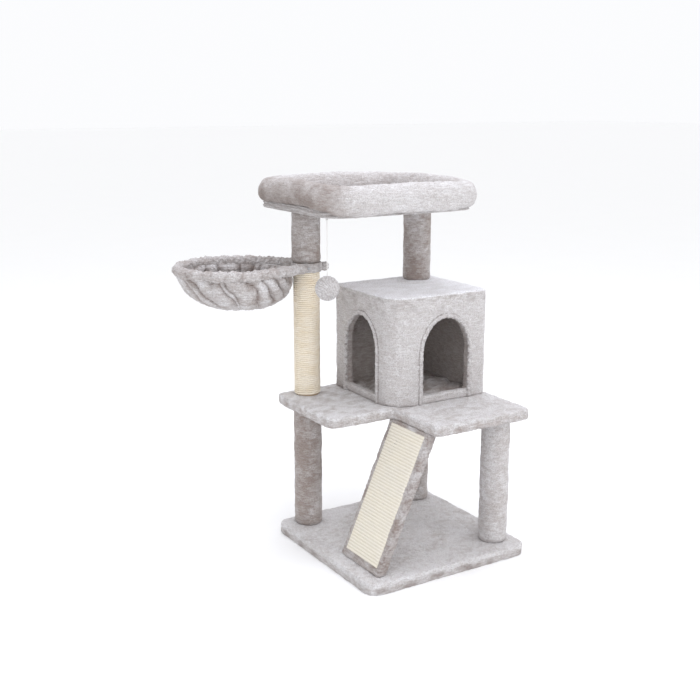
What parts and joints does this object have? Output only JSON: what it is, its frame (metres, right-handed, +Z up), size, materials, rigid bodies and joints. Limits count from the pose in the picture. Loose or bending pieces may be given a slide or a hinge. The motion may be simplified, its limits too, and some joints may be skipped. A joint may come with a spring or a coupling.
{
  "type": "cat tree",
  "caption": "Plush cat tree: square base, L-shaped platform with arched condo, sisal post with swivelling hammock basket, bolstered perch, climbing ramp and a hanging ball.",
  "frame": {"origin": "centre of the base's underside, on the floor", "axes": "+X to the right along the front edge, +Y towards the back, +Z up"},
  "size_m": [0.7422, 0.6332, 0.956],
  "materials": {
    "plush": "short brushed plush, warm light grey",
    "padding": "plush-covered fibre and foam filling",
    "ball_core": "fibre stuffing, hidden",
    "sisal_rope": "twisted natural fibre rope, cream to tan",
    "sisal_mat": "ribbed woven sisal, cream",
    "liner": "thin black non-woven underside sheet",
    "board": "raw particle board and hardboard, hidden",
    "cardboard": "spiral-wound cardboard tube, hidden",
    "steel": "zinc-plated",
    "string": "thin white elastic cord"
  },
  "bodies": {
    "root": {"base_cover": "plush", "lower_left_post_plush": "plush", "lower_front_post_plush": "plush", "lower_back_post_plush": "plush", "roof_post_plush": "plush", "upper_left_post_plush": "plush", "platform_cover": "plush", "condo_wall_plush": "plush", "condo_lining": "plush", "condo_roof_plush": "plush", "door_sill_left": "plush", "door_sill_front": "plush", "door_trim_left": "plush", "door_trim_front": "plush", "ramp_cover": "plush", "perch_cover": "plush", "perch_bolster": "padding", "perch_pad": "padding", "condo_floor_pad": "padding", "sisal_rope": "sisal_rope", "ramp_mat": "sisal_mat", "base_liner": "liner", "base_board": "board", "platform_board": "board", "perch_board": "board", "ramp_board": "board", "condo_bent_panel": "board", "condo_right_panel": "board", "condo_back_panel": "board", "condo_roof_board": "board", "post_plugs": "board", "lower_left_post_tube": "cardboard", "lower_front_post_tube": "cardboard", "lower_back_post_tube": "cardboard", "roof_post_tube": "cardboard", "upper_left_post_tube": "cardboard", "sisal_post_tube": "cardboard", "base_bolts": "steel", "platform_bolts": "steel", "column_stud": "steel", "roof_bolt": "steel", "perch_bolts": "steel", "ramp_bolts": "steel", "clamp_stud": "steel", "string_staple": "steel"},
    "basket": {"hoop_wire": "steel", "hoop_sleeve": "plush", "basket_bowl": "plush", "hoop_plate": "steel", "clamp_collar": "plush", "collar_tuft": "plush"},
    "string_loop": {"string_knot": "string"},
    "pom_pom": {"ball_string": "string", "ball_core": "ball_core", "ball_plush": "plush"}
  },
  "joints": [
    {"name": "basket_swivel", "type": "hinge", "parent": "root", "child": "basket", "pos_m": [-0.17, 0.186, 0.7315], "axis": [0, 0, 1], "range_deg": [-80, 10]},
    {"name": "ball_swing_front_back", "type": "hinge", "parent": "root", "child": "string_loop", "pos_m": [-0.196, 0.035, 0.866], "axis": [1, 0, 0], "range_deg": [-20, 12]},
    {"name": "ball_swing_side", "type": "hinge", "parent": "string_loop", "child": "pom_pom", "pos_m": [-0.196, 0.035, 0.866], "axis": [0, -1, 0], "range_deg": [-12, 20]}
  ]
}
